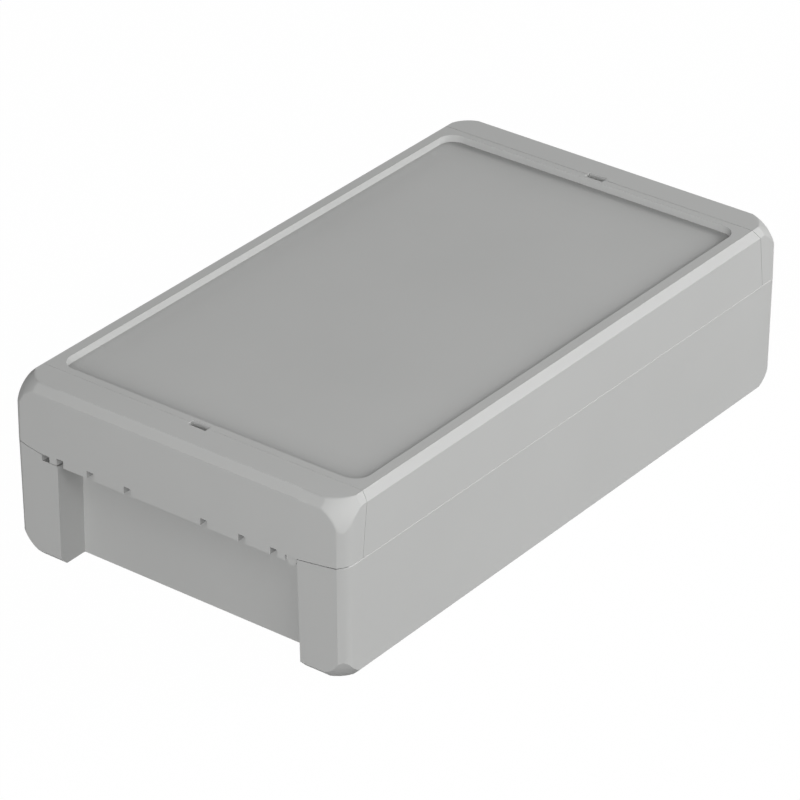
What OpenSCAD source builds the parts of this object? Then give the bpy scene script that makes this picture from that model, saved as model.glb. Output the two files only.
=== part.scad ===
// Wall-mounted plastic enclosure with a gasketed lid and two hinged end closures.
// Origin at the middle of the underside, X along the length, Y across, Z up.
// Both ends are alike: each closure, with its hinge, is the other one turned half round about Z.

/* [Overall] */
// Length over the two closures
length = 222; // [200:1:300]
// Width over the long walls
width = 125; // [116:1:180]
// Height from the underside to the top face
height = 60; // [56:1:90]
// Height of the parting plane between the base and what sits on it
split_z = 39.9; // [32:0.1:42]

/* [Walls] */
// Side wall of the base
base_wall = 3.2; // [2.6:0.1:4]
// Floor of the base
floor_t = 3; // [2:0.1:5]
// Side wall of the lid
lid_wall = 2.8; // [2.4:0.1:3.4]
// Plate of the lid under the label recess
lid_plate = 2.8; // [2:0.1:3.4]
// Wall of a closure
closure_wall = 2.6; // [2.3:0.1:2.8]
// Inward lean of the base walls over their height
base_draft = 0.4; // [0.2:0.1:1]
// Inward lean of the lid and closure walls over their height
lid_draft = 0.1; // [0.1:0.1:0.6]

/* [Edges] */
// Flat bevel round the top
top_bevel = 2.4; // [1.5:0.1:2.8]
// Flat bevel round the underside
foot_bevel = 2.5; // [1.5:0.1:3.2]
// Small bevel on the upper outer edge of the base, which draws the parting line
edge_break = 0.3; // [0.1:0.1:0.5]
// Radius of the upright corners, tangent to the long sides
corner_r = 4.4; // [4:0.1:6]
// How far the corner arcs are cut short by the end faces
corner_cut = 0.3; // [0.1:0.1:1]
// Distance of each corner ball's centre from the three faces that meet there
ball_inset = 11.8; // [9:0.1:14]
// How far each corner ball's surface stands clear of the upright corner edge
ball_clear = 0.5; // [0.1:0.1:0.8]

/* [Label recess] */
// Top border between a box end and the recess
label_end_border = 14.6; // [14:0.1:30]
// Top border between a long side and the recess
label_side_border = 6; // [4:0.1:20]
// Depth of the recess
label_depth = 2.4; // [0.5:0.1:2.8]
// Slope of the recess walls, measured in plan
label_slope = 0.2; // [0.1:0.1:1.5]
// Corner radius of the recess
label_r = 5.5; // [4:0.5:14]

/* [Ends of the base] */
// Set-back of the end walls between the corner legs
recess_depth = 11.1; // [11:0.1:14]
// Width of a corner leg at the parting plane
leg_w = 17.2; // [16:0.1:19]
// Slope of the legs' inner faces over their height, in plan
recess_draft = 0.5; // [0.2:0.1:2]

/* [Wall fixing] */
// Clearance hole for a wall screw
screw_d = 4.6; // [3:0.1:5.5]
// Well for the screw's head and the screwdriver
well_d = 8.6; // [7:0.1:9]
// Thickness under the screw's head
screw_seat = 5; // [3:0.5:10]
// Distance of a hole from the box end
screw_inset = 6.6; // [6:0.1:7]
// Distance of a hole from the long side
screw_side = 8.2; // [7.6:0.1:9]

/* [Closures] */
// Length of a closure along the top
closure_len = 11.9; // [11.6:0.1:12.4]
// Length of a closure at the lower edge of the top bevel
closure_knee = 10.8; // [10.2:0.1:11.2]
// Length of a closure at the parting plane
closure_foot = 8.7; // [8.2:0.1:9.4]
// Gap at the seams round a closure
seam = 0.15; // [0.1:0.05:0.2]
// How far the end wall hangs under the parting plane between the legs
skirt_drop = 4.55; // [4:0.05:4.8]
// How much narrower than the set-back the hanging part of the end wall is
skirt_play = 1.2; // [0.8:0.1:2]
// Lower edge over the leg beside the tab, as [distance from the long side, drop]
tab_side_edge = [[24, 2.6], [16.6, 2.6], [2.8, 0.5], [1.5, 0], [0.5, 0], [0.1, -0.2]];
// Lower edge over the other leg, as [distance from the long side, drop]
plain_side_edge = [[16.4, 2.75], [10.5, 2.75], [5.5, 1.85], [2.5, 1.05], [1.5, 0.6], [0.5, 0.2], [0.1, -0.2]];
// Distance from the long side to the pocket in that leg, which the hanging wall swings in
pocket_side = 11; // [10.6:0.1:12]
// Length of the screwdriver slot
slot_len = 6.9; // [5:0.1:10]
// Width of the screwdriver slot, half in the lid and half in the closure
slot_w = 3; // [2:0.1:3.2]
// Length of the catch that holds the lid
catch_len = 76; // [40:1:84]
// Depth of the catch under the closure's top wall
catch_drop = 4.5; // [4.2:0.1:5]
// Reach of the catch over the nose
catch_reach = 1.4; // [1:0.1:1.6]
// Thickness of the hook that hangs from the top wall
hook_t = 1.5; // [1.2:0.1:1.8]

/* [Hinge] */
// Distance of the hinge pins from the end face
pin_inset = 2.6; // [2.5:0.1:2.8]
// Height of the hinge pins over the parting plane
pin_rise = 2.1; // [2:0.1:2.2]
// Radius of a hinge pin
pin_r = 1.1; // [0.9:0.05:1.2]
// Running clearance of a clip on its pin
pin_fit = 0.05; // [0.03:0.01:0.1]
// Wall of a clip round its pin
clip_wall = 1.3; // [1:0.1:1.3]
// Width of the opening that a clip snaps over its pin with
clip_mouth = 1.6; // [1.2:0.1:1.8]
// Distance of the three lugs of each pin from the leg's inner face
lug_insets = [30.8, 16.5, 4.7];
// Width of a lug
lug_w = 1.7; // [1.4:0.1:2]
// Height of a lug's root on the end wall
lug_root = 6.4; // [4:0.1:10]
// Width of the notches that the lugs pass through
notch_w = 2.6; // [2.4:0.1:2.8]
// Height of the notches
notch_h = 2.45; // [2:0.05:2.6]
// Thickness that is left of the end wall in front of the lugs
notch_skin = 0.9; // [0.7:0.1:1]
// Sideways shift of the hinge and the catch from the middle of the box
hinge_shift = 3.75; // [0:0.05:3.75]
// Width of the guide tab beside the leg
tab_w = 3.9; // [3:0.1:4.2]
// Drop of the guide tab under the end wall
tab_drop = 1.35; // [0.5:0.05:1.5]
// Set-back of the guide tab behind the end face
tab_back = 0.9; // [0.6:0.1:1.2]
// Gap between the guide tab and the leg
tab_gap = 0.7; // [0.3:0.1:1]

/* [Seal] */
// Thickness of the base's sealing ridge
ridge_t = 1; // [0.8:0.1:1.2]
// Height of the sealing ridge
ridge_h = 1.5; // [1:0.1:2]
// Free width on each side of the ridge in the lid's groove
ridge_play = 0.9; // [0.8:0.05:1]
// Gap between the ridge and the seal as moulded
seal_gap = 0.3; // [0.2:0.05:0.5]
// Thickness of the seal
seal_t = 1.6; // [1.2:0.1:2.4]
// Lip of the lid inside the groove
lip_t = 1.2; // [1:0.1:2]
// Outer corner radius of the ridge
ridge_r = 9; // [8:0.5:12]

/* [Screw bosses] */
// Diameter of a boss
boss_d = 7; // [6:0.5:9]
// Pilot hole for a self-tapping screw
pilot_d = 3; // [2:0.1:3.5]
// Height of the base's bosses over the floor
base_boss_h = 8; // [5:0.5:14]
// Length of the lid's bosses under its plate
lid_boss_h = 7; // [4:0.5:9]
// Distance of the outer bosses from the box ends
boss_end = 27.5; // [25:0.5:50]
// Distance of the bosses from the long sides
boss_side = 13.5; // [12:0.5:20]

/* [Hidden] */
$fn = 96;

shell_grey = [0.70, 0.71, 0.70];
lid_grey = [0.72, 0.73, 0.72];
seal_grey = [0.30, 0.31, 0.31];

// Working overlap for cuts, and the small clearance of parts that rest in one another
cut = 1;
rest_gap = 0.05;

half_l = length / 2;
half_w = width / 2;
step_x = half_l - recess_depth;
recess_half = half_w - leg_w;
boss_x = half_l - boss_end;
boss_y = half_w - boss_side;

// Lid and rim
end_gap = 0.2;
rim_cap = 1.8;
rim_x = step_x - base_wall;
rim_y = half_w - base_wall;
lid_end_x = step_x - end_gap;
groove_d = ridge_h + seal_gap + seal_t;
groove_out = ridge_t + ridge_play;
groove_in = ridge_play;
rim_h = groove_d + rim_cap;
label_z = height - label_depth;
ceiling_z = label_z - lid_plate;

// Hinge line of the -X end, and the room that the hanging wall and the lugs need round it
pin_x = -half_l + pin_inset;
pin_z = split_z + pin_rise;
pin_room = 0.2;
clear_r = pin_r + pin_room;
clip_r = pin_r + clip_wall;
mouth_angle = 25;
skirt_z = split_z - skirt_drop;
notch_z = skirt_z + notch_h;
skirt_half = recess_half - skirt_play / 2;
skirt_r = norm([pin_inset, pin_z - skirt_z]);
notch_r = norm([pin_inset, pin_z - notch_z]);
lug_reach = recess_depth - pin_inset;
lug_places = [for (inset = lug_insets) recess_half - inset];

// Closure's inner top, the level of the catch, and the hook's proportions
closure_ceiling = height - closure_wall;
catch_land = 1;
catch_z = closure_ceiling - catch_drop;
hook_play = 0.3;
hook_drop = 2.2;
nose_gap = 0.4;
web_t = 1.6;
web_count = 4;
web_inset = 9;

// ---- outer form ----

// Slab with rounded corners whose outer faces follow rim, a list of [inset, z] from low to high
module slab(l, w, r, rim) {
    low = rim[0][1];
    high = rim[len(rim) - 1][1];
    module section(half) {
        polygon(concat(
            [for (p = rim) [half - p[0], p[1]]],
            [for (i = [len(rim) - 1 : -1 : 0]) [-half + rim[i][0], rim[i][1]]]));
    }
    rotate([90, 0, 0]) linear_extrude(w - 2 * r, center = true) section(l / 2);
    rotate([90, 0, 90]) linear_extrude(l - 2 * r, center = true) section(w / 2);
    for (sx = [-1, 1], sy = [-1, 1])
        translate([sx * (l / 2 - r), sy * (w / 2 - r), 0])
            rotate_extrude()
                polygon(concat([[0, low]], [for (p = rim) [r - p[0], p[1]]], [[0, high]]));
}

// Upright prism with rounded corners
module block(x, y, r, low, high) {
    slab(2 * x, 2 * y, r, [[0, low], [0, high]]);
}

// Closed solid bounded by the box's outer faces between two levels
module outer_form(rim) {
    intersection() {
        slab(length + 2 * corner_cut, width, corner_r, rim);
        rotate([90, 0, 0])
            linear_extrude(width + cut, center = true)
                polygon(concat(
                    [for (p = rim) [half_l - p[0], p[1]]],
                    [for (i = [len(rim) - 1 : -1 : 0]) [-half_l + rim[i][0], rim[i][1]]]));
    }
}

base_rim = [
    [base_draft + foot_bevel, 0], [base_draft, foot_bevel], [0, split_z - edge_break], [edge_break, split_z]];
top_rim = [[0, split_z], [lid_draft, height - top_bevel], [lid_draft + top_bevel, height]];

// What the corner balls take off at one level: face is the z of the flat, up is -1 for the underside
corner_edge = corner_r - sqrt(pow(corner_r, 2) - pow(corner_r - corner_cut, 2));
ball_r = norm([ball_inset, ball_inset - corner_edge]) + ball_clear;

module corner_trims(face, up) {
    side = ball_inset + cut;
    for (sx = [-1, 1], sy = [-1, 1])
        translate([sx * (half_l - ball_inset), sy * (half_w - ball_inset), face - up * ball_inset])
            difference() {
                translate([min(0, sx * side), min(0, sy * side), min(0, up * side)])
                    cube(side);
                sphere(ball_r);
            }
}

// Upright prism between the two slanting end seams, grown by a margin at each
module between_seams(margin) {
    outline = [
        [half_l - closure_foot + margin, 0], [half_l - closure_foot + margin, split_z],
        [half_l - closure_knee + margin, height - top_bevel],
        [half_l - closure_len + margin, height], [half_l - closure_len + margin, height + cut]];
    rotate([90, 0, 0])
        linear_extrude(width + cut, center = true)
            polygon(concat(outline, [for (i = [len(outline) - 1 : -1 : 0]) [-outline[i][0], outline[i][1]]]));
}

module half_turn() {
    children();
    rotate([0, 0, 180]) children();
}

// ---- base ----

// Set-back of one end wall, wider at the underside than at the parting plane
module end_recess() {
    foot = recess_half + recess_draft;
    translate([-step_x, 0, 0])
        rotate([90, 0, -90])
            linear_extrude(recess_depth + cut)
                polygon([
                    [-foot, -cut], [foot, -cut],
                    [recess_half, split_z + cut], [-recess_half, split_z + cut]]);
}

// Wall screw hole and head well in each leg of one end
module leg_holes() {
    for (sy = [-1, 1])
        translate([-half_l + screw_inset, sy * (half_w - screw_side), 0]) {
            translate([0, 0, -cut]) cylinder(h = split_z, d = screw_d);
            translate([0, 0, screw_seat]) cylinder(h = split_z, d = well_d);
        }
}

// One pin with its three lugs, whose necks reach out over the path of the closure's notched wall
module hinge_pin(side) {
    first = lug_places[0];
    last = lug_places[len(lug_places) - 1];
    root_x = lug_reach + base_wall / 2;
    for (place = lug_places)
        translate([pin_x, hinge_shift + side * place, pin_z])
            rotate([90, 0, 0])
                linear_extrude(lug_w, center = true)
                    union() {
                        circle(pin_r);
                        polygon([
                            [0, pin_r], [0, 0], [pin_r * cos(45), -pin_r * sin(45)],
                            [notch_r + pin_room, -pin_r], [lug_reach, -pin_rise - lug_root],
                            [root_x, -pin_rise - lug_root], [root_x, -pin_rise],
                            [lug_reach - 2 * end_gap, -pin_rise], [skirt_r - pin_r, pin_r]]);
                    }
    translate([pin_x, hinge_shift + side * (first + last) / 2, pin_z])
        rotate([90, 0, 0])
            cylinder(h = last - first + lug_w, r = pin_r, center = true);
}

module base_boss(x, y) {
    translate([x, y, floor_t - rest_gap])
        difference() {
            cylinder(h = base_boss_h + rest_gap, d = boss_d);
            translate([0, 0, cut]) cylinder(h = base_boss_h, d = pilot_d);
        }
}

// How far the upright corner stands back from the end face at a distance from the long side
function corner_back(side) = side > corner_edge ? 0 :
    corner_r - corner_cut - sqrt(pow(corner_r, 2) - pow(corner_r - side, 2));

// Distance from the hinge line to the lower edge at that place, for a drop of the edge
function turn_r(side, drop) = norm([pin_inset - corner_back(side), pin_rise - seam + drop]);

// Body of revolution about the hinge line that meets the end face along the closure's lower edge
module edge_turn(edge, side, margin) {
    last = len(edge) - 1;
    translate([pin_x, 0, pin_z])
        rotate([-90 * side, 0, 0])
            rotate_extrude()
                polygon(concat(
                    [[0, half_w - edge[0][0]]],
                    [for (e = edge) [turn_r(e[0], e[1]) + margin, half_w - e[0]]],
                    [[0, half_w - edge[last][0]]]));
}

// Room in the legs for the lower edge of one closure
module leg_troughs() {
    edge_turn(tab_side_edge, -1, seam);
    edge_turn(plain_side_edge, 1, seam);
    translate([pin_x, half_w - pocket_side, pin_z])
        rotate([90, 0, 0])
            cylinder(h = leg_w - pocket_side + cut, r = skirt_r + seam);
}

module base() {
    color(shell_grey) {
        difference() {
            outer_form(base_rim);
            corner_trims(0, -1);
            block(rim_x, rim_y, ridge_r - ridge_t, floor_t, split_z + cut);
            half_turn() {
                end_recess();
                leg_holes();
                leg_troughs();
            }
        }
        difference() {
            block(rim_x + ridge_t, rim_y + ridge_t, ridge_r, split_z - cut, split_z + ridge_h);
            block(rim_x, rim_y, ridge_r - ridge_t, split_z - 2 * cut, split_z + 2 * ridge_h);
        }
        half_turn()
            for (side = [-1, 1])
                hinge_pin(side);
        for (x = [-1, 0, 1], y = [-1, 1])
            base_boss(x * boss_x, y * boss_y);
    }
}

// ---- lid and seal ----

// Space between two rounded outlines round the ridge, out and in from its inner face
module rim_ring(out, in, low, high) {
    inner_r = ridge_r - ridge_t;
    difference() {
        block(rim_x + out, rim_y + out, inner_r + out, low, high);
        block(rim_x - in, rim_y - in, inner_r - in, low - cut, high + cut);
    }
}

module lid_boss(x, y) {
    translate([x, y, ceiling_z - lid_boss_h])
        difference() {
            cylinder(h = lid_boss_h + rest_gap, d = boss_d);
            translate([0, 0, -cut]) cylinder(h = lid_boss_h, d = pilot_d);
        }
}

// Rib on one end wall of the lid that the closure's nose catches under
module lid_catch() {
    translate([-lid_end_x, hinge_shift, catch_z])
        rotate([90, 0, 0])
            linear_extrude(catch_len, center = true)
                polygon([
                    [rest_gap, 0], [-catch_reach, catch_reach],
                    [-catch_reach, catch_reach + catch_land], [rest_gap, 2 * catch_reach + catch_land]]);
}

// Room that one closure takes beyond the lid's end wall, between the lid's side walls
module closure_room() {
    translate([lid_end_x, -half_w + closure_wall, split_z - cut])
        cube([recess_depth + end_gap, width - 2 * closure_wall, height]);
}

// Slot for a screwdriver across the seam on top
module pry_slot() {
    translate([half_l - closure_len - slot_w / 2, -slot_len / 2, closure_ceiling])
        cube([slot_w, slot_len, closure_wall + cut]);
}

module lid() {
    color(lid_grey) {
        difference() {
            intersection() {
                outer_form(top_rim);
                between_seams(-seam / 2);
            }
            slab(length - 2 * label_end_border, width - 2 * label_side_border, label_r,
                [[label_slope, label_z], [0, height], [0, height + cut]]);
            block(rim_x - groove_in - lip_t, rim_y - groove_in - lip_t,
                ridge_r - ridge_t - groove_in - lip_t, split_z - cut, split_z + rim_h + cut);
            block(lid_end_x - lid_wall, half_w - lid_draft - lid_wall, corner_r, split_z + rim_h, ceiling_z);
            rim_ring(groove_out, groove_in, split_z - cut, split_z + groove_d);
            half_turn() {
                closure_room();
                pry_slot();
            }
        }
        half_turn() lid_catch();
        for (x = [-1, 1], y = [-1, 1])
            lid_boss(x * boss_x, y * boss_y);
    }
}

module seal() {
    color(seal_grey)
        rim_ring(groove_out - rest_gap, groove_in - rest_gap,
            split_z + groove_d - seal_t, split_z + groove_d);
}

// ---- closures ----

// Side view profile of the closure's hook, drawn from the lid's end face, catch level at zero
module hook_profile() {
    face = catch_reach + 2 * hook_play;
    top = closure_ceiling - catch_z + rest_gap;
    polygon([
        [-face - hook_t, top], [-face - hook_t, -hook_drop], [-face, -hook_drop],
        [-nose_gap, -2 * hook_play], [-nose_gap, nose_gap - hook_play],
        [-face, face - hook_play], [-face, top]]);
}

// Web that ties the hook to the end wall
module hook_web() {
    hook_x = lid_end_x + catch_reach + 2 * hook_play + hook_t - rest_gap;
    wall_x = half_l - closure_wall + rest_gap;
    rotate([90, 0, 0])
        linear_extrude(web_t, center = true)
            polygon([
                [-wall_x, closure_ceiling + rest_gap], [-wall_x, catch_z - hook_t],
                [-hook_x, catch_z - hook_t], [-hook_x, closure_ceiling + rest_gap]]);
}

// Cuts round one pin: notches for its lugs, pockets over them behind a thin skin, and room for the pin
module pin_cuts(side) {
    first = lug_places[0];
    last = lug_places[len(lug_places) - 1];
    for (place = lug_places)
        translate([-half_l, hinge_shift + side * place - notch_w / 2, 0]) {
            translate([-cut, 0, skirt_z - cut]) cube([closure_wall + 2 * cut, notch_w, notch_h + cut]);
            translate([notch_skin, 0, skirt_z]) cube([closure_wall, notch_w, pin_z - skirt_z]);
        }
    translate([pin_x, hinge_shift + side * (first + last) / 2, pin_z])
        rotate([90, 0, 0])
            cylinder(h = last - first + notch_w, r = clear_r, center = true);
}

// Snap clip of a closure round the pin, between two lugs
module pin_clip(from, to) {
    translate([pin_x, (from + to) / 2, pin_z])
        rotate([90, 0, 0])
            linear_extrude(to - from - notch_w, center = true)
                difference() {
                    circle(clip_r);
                    circle(pin_r + pin_fit);
                    rotate(-mouth_angle)
                        translate([0, -clip_mouth / 2])
                            square([clip_r + cut, clip_mouth]);
                }
}

// Guide tab that hangs beside the leg, round at its foot
module guide_tab() {
    foot = skirt_z - tab_drop + tab_w / 2;
    translate([-half_l + tab_back, -recess_half + tab_gap + tab_w / 2, 0])
        rotate([90, 0, 90])
            linear_extrude(closure_wall - tab_back)
                union() {
                    translate([0, foot]) circle(tab_w / 2);
                    translate([-tab_w / 2, foot]) square([tab_w, split_z - foot]);
                }
}

module closure() {
    difference() {
        intersection() {
            outer_form(concat([[0, skirt_z]], top_rim));
            union() {
                translate([-half_l - cut, -half_w - cut, split_z + seam])
                    cube([closure_len + 2 * cut, width + 2 * cut, height]);
                translate([-half_l - cut, hinge_shift - skirt_half, skirt_z - cut])
                    cube([closure_wall + 2 * cut, 2 * skirt_half, skirt_drop + 2 * cut]);
                edge_turn(tab_side_edge, -1, 0);
                edge_turn(plain_side_edge, 1, 0);
            }
        }
        between_seams(seam / 2);
        corner_trims(height, 1);
        slab(length - 2 * closure_wall, width - 2 * closure_wall, corner_r,
            [[0, skirt_z - cut], [0, closure_ceiling - top_bevel], [top_bevel, closure_ceiling]]);
        for (side = [-1, 1])
            pin_cuts(side);
        rotate([0, 0, 180]) pry_slot();
    }
    for (side = [-1, 1], i = [0 : len(lug_places) - 2])
        pin_clip(hinge_shift + side * lug_places[i + (1 - side) / 2],
            hinge_shift + side * lug_places[i + (1 + side) / 2]);
    translate([-lid_end_x, hinge_shift, catch_z])
        rotate([90, 0, 0])
            linear_extrude(catch_len, center = true)
                hook_profile();
    for (i = [0 : web_count - 1])
        translate([0, hinge_shift + (i / (web_count - 1) - 1 / 2) * (catch_len - 2 * web_inset), 0])
            hook_web();
    guide_tab();
}

module front_closure() {
    color(shell_grey) closure();
}

module rear_closure() {
    color(shell_grey) rotate([0, 0, 180]) closure();
}

base();
lid();
seal();
front_closure();
rear_closure();
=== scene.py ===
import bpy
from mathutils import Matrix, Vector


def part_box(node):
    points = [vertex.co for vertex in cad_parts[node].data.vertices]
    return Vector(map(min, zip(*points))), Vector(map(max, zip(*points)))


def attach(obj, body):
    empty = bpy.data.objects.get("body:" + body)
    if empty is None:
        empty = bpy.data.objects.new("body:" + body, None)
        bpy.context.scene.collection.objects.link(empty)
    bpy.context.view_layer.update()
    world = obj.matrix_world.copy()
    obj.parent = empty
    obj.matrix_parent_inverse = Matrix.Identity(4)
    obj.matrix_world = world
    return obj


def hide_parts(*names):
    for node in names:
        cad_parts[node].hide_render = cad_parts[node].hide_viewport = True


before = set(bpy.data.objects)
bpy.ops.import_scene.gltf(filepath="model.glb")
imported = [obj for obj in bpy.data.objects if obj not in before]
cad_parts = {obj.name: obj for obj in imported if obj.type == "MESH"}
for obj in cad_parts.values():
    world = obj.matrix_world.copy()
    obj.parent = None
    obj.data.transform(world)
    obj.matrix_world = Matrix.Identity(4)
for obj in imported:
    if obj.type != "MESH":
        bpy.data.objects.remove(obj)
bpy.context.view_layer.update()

# ---- Base housing ----
# The lower half: one light grey ABS moulding with its walls, corner legs, hinge pins and bosses.
# It leaves the tool with a fine satin skin, a little cloudier where the plastic flowed last.

MM = 0.001
SHELL_GREY = (0.437, 0.440, 0.434, 1)
SHELL_CLOUD = (0.427, 0.430, 0.424, 1)
SATIN_ROUGHNESS = (0.58, 0.66)
ABS_IOR = 1.53
CLOUD_SCALE = 22
GRAIN_SCALE = 2600
GRAIN_DEPTH = 0.02 * MM
GRAIN_STRENGTH = 0.35
# Painted shade: how far the darkening of upward faces beside walls reaches, and how strong it is.
PAINTED_SHADE_REACH = 14 * MM
PAINTED_SHADE_SHARE = 0.7
SURE_UPWARD = 0.8


def put(tree, kind, **values):
    """A new node in a tree, with its settings and the values of its own sockets."""
    node = tree.nodes.new(kind)
    for name, value in values.items():
        if hasattr(node, name):
            setattr(node, name, value)
        else:
            node.inputs[name.replace("_", " ")].default_value = value
    return node


def moulded_skin_group():
    """Skin of a moulding: cloudy colour, painted shade in nooks, uneven gloss and the fine grain of
    the tool.
    """
    group = bpy.data.node_groups.new("moulded_skin_with_painted_shade", "ShaderNodeTree")
    for name, kind, value in (
        ("Colour", "NodeSocketColor", SHELL_GREY),
        ("Cloud Colour", "NodeSocketColor", SHELL_CLOUD),
        ("Cloud Scale", "NodeSocketFloat", CLOUD_SCALE),
        ("Grain Scale", "NodeSocketFloat", GRAIN_SCALE),
        ("Least Roughness", "NodeSocketFloat", SATIN_ROUGHNESS[0]),
        ("Most Roughness", "NodeSocketFloat", SATIN_ROUGHNESS[1]),
        ("Painted Shade Reach", "NodeSocketFloat", PAINTED_SHADE_REACH),
        ("Nook Share", "NodeSocketFloat", 0),
    ):
        socket = group.interface.new_socket(name=name, in_out="INPUT", socket_type=kind)
        socket.default_value = value
    for name, kind in (
        ("Colour", "NodeSocketColor"),
        ("Roughness", "NodeSocketFloat"),
        ("Height", "NodeSocketFloat"),
    ):
        group.interface.new_socket(name=name, in_out="OUTPUT", socket_type=kind)
    given = group.nodes.new("NodeGroupInput")
    made = group.nodes.new("NodeGroupOutput")
    place = group.nodes.new("ShaderNodeTexCoord")
    link = group.links.new

    cloud = put(group, "ShaderNodeTexNoise", Detail=4, Roughness=0.55)
    link(place.outputs["Object"], cloud.inputs["Vector"])
    link(given.outputs["Cloud Scale"], cloud.inputs["Scale"])
    spread = put(group, "ShaderNodeMapRange", From_Min=0.35, From_Max=0.65)
    link(cloud.outputs["Fac"], spread.inputs["Value"])
    tint = put(group, "ShaderNodeMix", data_type="RGBA")
    link(spread.outputs["Result"], tint.inputs["Factor"])
    link(given.outputs["Colour"], tint.inputs["A"])
    link(given.outputs["Cloud Colour"], tint.inputs["B"])

    # Painted shade: where an upward face meets a wall of its own moulding, ambient occlusion
    # darkens its colour a little.
    facing = group.nodes.new("ShaderNodeSeparateXYZ")
    link(place.outputs["Normal"], facing.inputs["Vector"])
    upward = put(group, "ShaderNodeMapRange", From_Min=SURE_UPWARD)
    link(facing.outputs["Z"], upward.inputs["Value"])
    link(given.outputs["Nook Share"], upward.inputs["To Max"])
    painted_nook_shade = put(group, "ShaderNodeAmbientOcclusion", samples=8, only_local=True)
    link(given.outputs["Painted Shade Reach"], painted_nook_shade.inputs["Distance"])
    link(tint.outputs["Result"], painted_nook_shade.inputs["Color"])
    shade = put(group, "ShaderNodeMix", data_type="RGBA")
    link(upward.outputs["Result"], shade.inputs["Factor"])
    link(tint.outputs["Result"], shade.inputs["A"])
    link(painted_nook_shade.outputs["Color"], shade.inputs["B"])
    link(shade.outputs["Result"], made.inputs["Colour"])

    grain = put(group, "ShaderNodeTexNoise", Detail=3, Roughness=0.7)
    link(place.outputs["Object"], grain.inputs["Vector"])
    link(given.outputs["Grain Scale"], grain.inputs["Scale"])
    gloss = put(group, "ShaderNodeMapRange", From_Min=0.3, From_Max=0.7)
    link(grain.outputs["Fac"], gloss.inputs["Value"])
    link(given.outputs["Least Roughness"], gloss.inputs["To Min"])
    link(given.outputs["Most Roughness"], gloss.inputs["To Max"])
    link(gloss.outputs["Result"], made.inputs["Roughness"])
    link(grain.outputs["Fac"], made.inputs["Height"])
    return group


skin = moulded_skin_group()


def moulded_plastic(name, colour, cloud):
    """Satin plastic with the shared skin, whose grain also stands up from the surface, and painted
    shade where upward faces meet walls.
    """
    material = bpy.data.materials.new(name)
    material.use_nodes = True
    tree = material.node_tree
    shader = tree.nodes["Principled BSDF"]
    shader.inputs["IOR"].default_value = ABS_IOR
    surface = put(tree, "ShaderNodeGroup", node_tree=skin, Colour=colour, Cloud_Colour=cloud,
                  Nook_Share=PAINTED_SHADE_SHARE)
    bump = put(tree, "ShaderNodeBump", Strength=GRAIN_STRENGTH, Distance=GRAIN_DEPTH)
    tree.links.new(surface.outputs["Colour"], shader.inputs["Base Color"])
    tree.links.new(surface.outputs["Roughness"], shader.inputs["Roughness"])
    tree.links.new(surface.outputs["Height"], bump.inputs["Height"])
    tree.links.new(bump.outputs["Normal"], shader.inputs["Normal"])
    return material


def finish_node(node, material):
    """Gives every material slot of a CAD node one material."""
    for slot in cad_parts[node].material_slots:
        slot.material = material


finish_node("base", moulded_plastic("base_grey_abs", SHELL_GREY, SHELL_CLOUD))

# ---- Lid ----
# The upper half between the closures, from the same grey as the base. Its flat recess takes a
# label or a keypad, and it has the same skin all over.

# The painted shade of the skin darkens the recess floor along its rims.
finish_node("lid", moulded_plastic("lid_grey_abs", SHELL_GREY, SHELL_CLOUD))

# ---- Closures ----
# Two alike hinged end caps from one tool, snapped on the pins of the base. They are moulded in
# another shot than the shells, so their grey is a trace different.

CLOSURE_GREY = (0.440, 0.443, 0.437, 1)
CLOSURE_CLOUD = (0.430, 0.433, 0.427, 1)
CORNER_SOFTNESS = 1.2 * MM
CORNERS_FROM = {"X": 103.5 * MM, "Y": 46 * MM, "Z": 46 * MM}


def soften_corners(material, radius, limits):
    """Rounds the edges of a material, only where it is past every limit from the box's middle."""
    tree = material.node_tree
    link = tree.links.new
    place = tree.nodes.new("ShaderNodeTexCoord")
    parts = tree.nodes.new("ShaderNodeSeparateXYZ")
    link(place.outputs["Object"], parts.inputs["Vector"])
    here = tree.nodes.new("ShaderNodeValue").outputs["Value"]
    here.default_value = radius
    for axis, limit in limits.items():
        away = put(tree, "ShaderNodeMath", operation="ABSOLUTE")
        link(parts.outputs[axis], away.inputs[0])
        beyond = put(tree, "ShaderNodeMath", operation="GREATER_THAN")
        link(away.outputs["Value"], beyond.inputs[0])
        beyond.inputs[1].default_value = limit
        both = put(tree, "ShaderNodeMath", operation="MULTIPLY")
        link(beyond.outputs["Value"], both.inputs[0])
        link(here, both.inputs[1])
        here = both.outputs["Value"]
    edge = put(tree, "ShaderNodeBevel", samples=8)
    link(here, edge.inputs["Radius"])
    grain = next(node for node in tree.nodes if node.bl_idname == "ShaderNodeBump")
    link(edge.outputs["Normal"], grain.inputs["Normal"])


closure_grey = moulded_plastic("closure_grey_abs", CLOSURE_GREY, CLOSURE_CLOUD)
soften_corners(closure_grey, CORNER_SOFTNESS, CORNERS_FROM)
for closure in ("front_closure", "rear_closure"):
    finish_node(closure, closure_grey)

# ---- Seal ----
# A strand of dark soft foam, poured into the groove of the lid, where it sets with a flat back
# against the plastic and a crowned, slightly pebbled skin towards the ridge of the base.

import bmesh
from math import pi
from mathutils import Matrix, Vector

seal_low, seal_high = (Vector(c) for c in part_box("seal"))
SEAL_WIDTH = 2.7 * MM
SEAL_CORNER = 9.9 * MM
SEAL_SIDES = 24
SEAL_TURN_STEPS = 14
BACK_FLATNESS = 0.5
CROWN_FULLNESS = 0.85
FOAM_BLACK = (0.055, 0.056, 0.058, 1)
FOAM_CLOUD = (0.04, 0.041, 0.043, 1)
FOAM_CLOUD_SCALE = 160
FOAM_GRAIN_SCALE = 1500
FOAM_ROUGHNESS = (0.62, 0.85)
PORE_SCALE = 1900
PORE_DEPTH = 0.08 * MM
PORE_STRENGTH = 0.6


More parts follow.
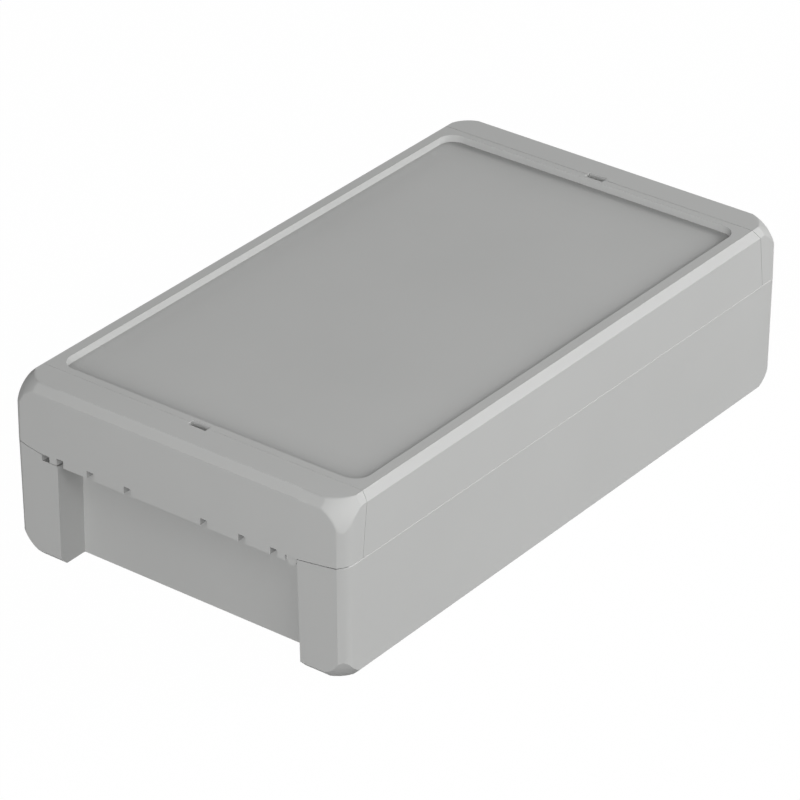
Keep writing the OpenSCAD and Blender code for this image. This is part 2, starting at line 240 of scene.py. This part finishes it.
def seal_strand():
    """Sweeps the strand's section along the four straights and round the four corners."""
    thick = seal_high.z - seal_low.z
    half = SEAL_WIDTH / 2
    reach_x = seal_high.x - SEAL_CORNER
    reach_y = seal_high.y - SEAL_CORNER
    strand = bmesh.new()
    bmesh.ops.create_circle(strand, segments=SEAL_SIDES, radius=1)
    for v in strand.verts:
        across, up = v.co.x, v.co.y
        up = up ** BACK_FLATNESS if up > 0 else -abs(up) ** CROWN_FULLNESS
        v.co = (seal_high.x - half + across * half, -reach_y,
                (seal_low.z + seal_high.z) / 2 + up * thick / 2)
    edges = list(strand.edges)
    start = (reach_x, -reach_y)
    for x, y in ((reach_x, reach_y), (-reach_x, reach_y), (-reach_x, -reach_y), start):
        grown = bmesh.ops.extrude_edge_only(strand, edges=edges)["geom"]
        ring = [g for g in grown if isinstance(g, bmesh.types.BMVert)]
        edges = [g for g in grown if isinstance(g, bmesh.types.BMEdge)]
        bmesh.ops.translate(strand, verts=ring, vec=(x - start[0], y - start[1], 0))
        spun = bmesh.ops.spin(strand, geom=ring + edges, cent=(x, y, 0), axis=(0, 0, 1),
                              angle=pi / 2, steps=SEAL_TURN_STEPS)["geom_last"]
        edges = [g for g in spun if isinstance(g, bmesh.types.BMEdge)]
        start = (x, y)
    bmesh.ops.remove_doubles(strand, verts=strand.verts, dist=0.01 * MM)
    bmesh.ops.recalc_face_normals(strand, faces=strand.faces)
    for face in strand.faces:
        face.smooth = True
    mesh = bpy.data.meshes.new("seal_strand")
    strand.to_mesh(mesh)
    strand.free()
    return mesh


def foam_material():
    """Closed-cell foam: a dark, dull skin with shallow pores."""
    material = bpy.data.materials.new("seal_foam")
    material.use_nodes = True
    tree = material.node_tree
    shader = tree.nodes["Principled BSDF"]
    surface = put(tree, "ShaderNodeGroup", node_tree=skin, Colour=FOAM_BLACK,
                  Cloud_Colour=FOAM_CLOUD, Cloud_Scale=FOAM_CLOUD_SCALE,
                  Grain_Scale=FOAM_GRAIN_SCALE, Least_Roughness=FOAM_ROUGHNESS[0],
                  Most_Roughness=FOAM_ROUGHNESS[1])
    place = tree.nodes.new("ShaderNodeTexCoord")
    pores = put(tree, "ShaderNodeTexVoronoi", Scale=PORE_SCALE)
    tree.links.new(place.outputs["Object"], pores.inputs["Vector"])
    bump = put(tree, "ShaderNodeBump", Strength=PORE_STRENGTH, Distance=PORE_DEPTH)
    tree.links.new(pores.outputs["Distance"], bump.inputs["Height"])
    tree.links.new(surface.outputs["Colour"], shader.inputs["Base Color"])
    tree.links.new(surface.outputs["Roughness"], shader.inputs["Roughness"])
    tree.links.new(bump.outputs["Normal"], shader.inputs["Normal"])
    return material


foam_strand = bpy.data.objects.new("seal_strand", seal_strand())
bpy.context.scene.collection.objects.link(foam_strand)
foam_strand.data.materials.append(foam_material())
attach(foam_strand, "lid")
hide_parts("seal")

# ---- Studio ----
# A plain white table under the box. To the camera it is bright white, and it keeps the soft
# shadow that the box throws on it.

TABLE_SIZE = 12.0
TABLE_DROP = 0.05 * MM
TABLE_GREY = (0.12, 0.12, 0.12, 1)
WHITE = (1, 1, 1, 1)
TABLE_GLOW = 1.075
GLOW_SHARE = 0.92
FILL_LEVEL = 0.16
LAMP_AIM = (0, 0, 0.03)


def white_table():
    """Floor whose white is seen by the camera and in reflections, mixed with its own shading."""
    material = bpy.data.materials.new("white_table")
    material.use_nodes = True
    tree = material.node_tree
    tree.nodes.clear()
    link = tree.links.new
    ray = tree.nodes.new("ShaderNodeLightPath")
    seen = put(tree, "ShaderNodeMath", operation="MAXIMUM")
    link(ray.outputs["Is Camera Ray"], seen.inputs[0])
    link(ray.outputs["Is Glossy Ray"], seen.inputs[1])
    share = put(tree, "ShaderNodeMath", operation="MULTIPLY")
    share.inputs[1].default_value = GLOW_SHARE
    link(seen.outputs["Value"], share.inputs[0])
    matt = put(tree, "ShaderNodeBsdfDiffuse", Color=TABLE_GREY)
    glow = put(tree, "ShaderNodeEmission", Color=WHITE, Strength=TABLE_GLOW)
    both = tree.nodes.new("ShaderNodeMixShader")
    link(share.outputs["Value"], both.inputs["Fac"])
    link(matt.outputs["BSDF"], both.inputs[1])
    link(glow.outputs["Emission"], both.inputs[2])
    out = tree.nodes.new("ShaderNodeOutputMaterial")
    link(both.outputs["Shader"], out.inputs["Surface"])
    return material


table_top = bmesh.new()
bmesh.ops.create_grid(table_top, x_segments=1, y_segments=1, size=TABLE_SIZE / 2)
bmesh.ops.translate(table_top, verts=table_top.verts, vec=(0, 0, -TABLE_DROP))
table_mesh = bpy.data.meshes.new("table_top")
table_top.to_mesh(table_mesh)
table_top.free()
table = bpy.data.objects.new("table_top", table_mesh)
bpy.context.scene.collection.objects.link(table)
table.data.materials.append(white_table())


def white_surroundings():
    """World that lights plainly and looks white behind the box."""
    world = bpy.data.worlds.new("studio")
    bpy.context.scene.world = world
    world.use_nodes = True
    tree = world.node_tree
    tree.nodes.clear()
    link = tree.links.new
    ray = tree.nodes.new("ShaderNodeLightPath")
    fill = put(tree, "ShaderNodeBackground", Color=WHITE, Strength=FILL_LEVEL)
    backdrop = put(tree, "ShaderNodeBackground", Color=WHITE, Strength=1.0)
    both = tree.nodes.new("ShaderNodeMixShader")
    link(ray.outputs["Is Camera Ray"], both.inputs["Fac"])
    link(fill.outputs["Background"], both.inputs[1])
    link(backdrop.outputs["Background"], both.inputs[2])
    out = tree.nodes.new("ShaderNodeOutputWorld")
    link(both.outputs["Shader"], out.inputs["Surface"])


white_surroundings()


def soft_lamp(name, place, size, power):
    """Square soft lamp at a place, turned to the middle of the box."""
    light = bpy.data.lights.new(name, "AREA")
    light.shape = "SQUARE"
    light.size = size
    light.energy = power
    lamp = bpy.data.objects.new(name, light)
    bpy.context.scene.collection.objects.link(lamp)
    lamp.location = place
    lamp.rotation_euler = (Vector(LAMP_AIM) - Vector(place)).to_track_quat("-Z", "Y").to_euler()


soft_lamp("lamp_right", place=(0.963, -1.124, 0.610), size=0.7, power=14.4)
soft_lamp("lamp_edge", place=(1.099, -0.799, 0.845), size=0.6, power=5.2)
soft_lamp("lamp_front", place=(-0.730, -0.983, 1.029), size=0.6, power=6.2)
soft_lamp("lamp_left", place=(-1.382, -0.569, 0.600), size=0.7, power=16.0)
soft_lamp("lamp_low", place=(0.081, -1.547, 0.407), size=1.0, power=2.2)
soft_lamp("lamp_back", place=(1.27, 0.95, 0.19), size=0.4, power=2.4)

# ---- Camera ----
# A long lens from above one corner, so that the end, one long side and the lid all show.

from math import cos, sin

CAMERA_TURN = -0.915684
CAMERA_RISE = 0.522905
CAMERA_REACH = 1413.329 * MM
CAMERA_AIM_X = -2.27092 * MM
CAMERA_AIM_Y = 20.0303 * MM
LENS = 204.367

back = Vector((sin(CAMERA_TURN) * cos(CAMERA_RISE), -cos(CAMERA_TURN) * cos(CAMERA_RISE),
               sin(CAMERA_RISE)))
right = Vector((0, 0, 1)).cross(back).normalized()
up = back.cross(right)
camera = bpy.data.objects.new("camera", bpy.data.cameras.new("camera"))
bpy.context.scene.collection.objects.link(camera)
camera.data.lens = LENS
camera.matrix_world = Matrix.Translation(
    CAMERA_AIM_X * right + CAMERA_AIM_Y * up + CAMERA_REACH * back
) @ Matrix((right, up, back)).transposed().to_4x4()
bpy.context.scene.camera = camera
bpy.context.scene.view_settings.view_transform = "Standard"
